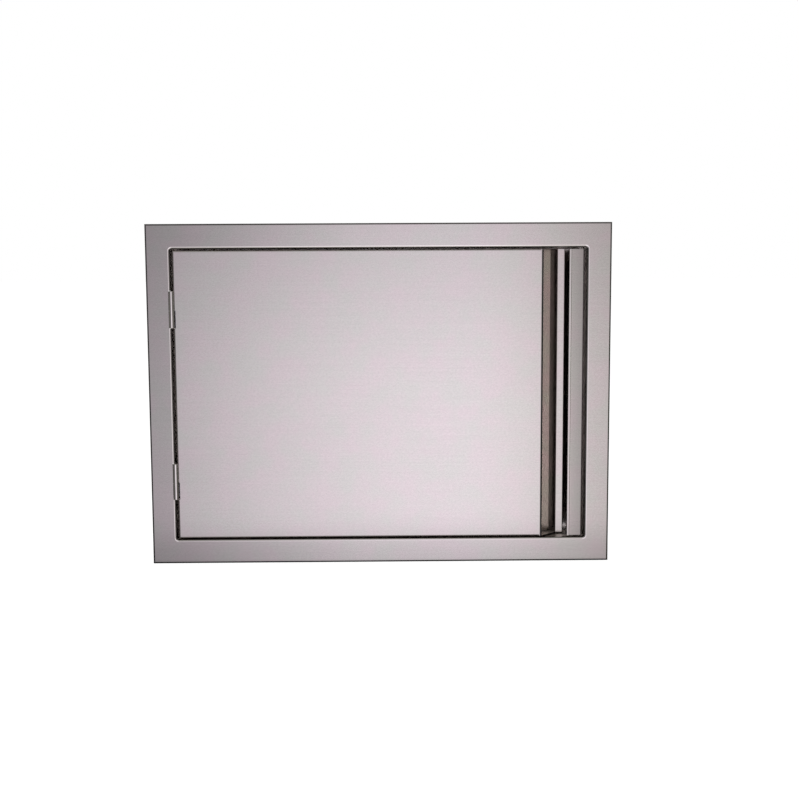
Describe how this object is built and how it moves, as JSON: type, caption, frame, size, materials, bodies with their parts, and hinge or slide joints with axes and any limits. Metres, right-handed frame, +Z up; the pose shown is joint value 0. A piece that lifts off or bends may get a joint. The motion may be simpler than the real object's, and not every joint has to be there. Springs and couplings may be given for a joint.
{
  "type": "outdoor kitchen access door",
  "caption": "Flush stainless access door for an outdoor kitchen island: flanged frame, side-hinged double-wall door, full-height finger pull and a magnetic catch.",
  "frame": {"origin": "centre of the doorway on the wall's face, in the plane where the flange's folded rim bears", "axes": "+X to the right seen from outside, +Y into the wall, +Z up; the door is shut"},
  "size_m": [0.5842, 0.0595, 0.4318],
  "materials": {
    "brushed_stainless": "fine brushed stainless",
    "polished_stainless": "bright polished stainless",
    "plated_steel": "dull zinc-plated steel",
    "catch_case": "matt moulded",
    "magnet": "sintered, matt",
    "bumper": "soft clear-dark rubber"
  },
  "bodies": {
    "frame": {"frame_top_rail": "brushed_stainless", "frame_bottom_rail": "brushed_stainless", "frame_hinge_stile": "brushed_stainless", "frame_latch_stile": "brushed_stainless", "door_bumpers": "bumper", "hinge_washers": "polished_stainless", "frame_hinge_screws": "polished_stainless", "upper_hinge_frame_leaf": "polished_stainless", "lower_hinge_frame_leaf": "polished_stainless", "upper_hinge_pin": "polished_stainless", "lower_hinge_pin": "polished_stainless", "upper_hinge_nut_plate": "plated_steel", "lower_hinge_nut_plate": "plated_steel", "catch_bracket": "plated_steel", "catch_bracket_rivets": "polished_stainless", "catch_housing": "catch_case", "catch_magnet": "magnet", "catch_pole_plates": "plated_steel", "catch_screws": "plated_steel"},
    "door": {"door_skin": "brushed_stainless", "door_liner": "brushed_stainless", "liner_rivets": "polished_stainless", "door_stiffener": "brushed_stainless", "pull_channel": "brushed_stainless", "pull_bar": "brushed_stainless", "upper_hinge_door_leaf": "polished_stainless", "lower_hinge_door_leaf": "polished_stainless", "upper_hinge_reinforcement": "plated_steel", "lower_hinge_reinforcement": "plated_steel", "door_hinge_screws": "polished_stainless", "strike_plate": "plated_steel"}
  },
  "joints": [
    {"name": "door_swing", "type": "hinge", "parent": "frame", "child": "door", "pos_m": [-0.26035, -0.011, 0], "axis": [0, 0, -1], "range_deg": [0, 175]}
  ]
}
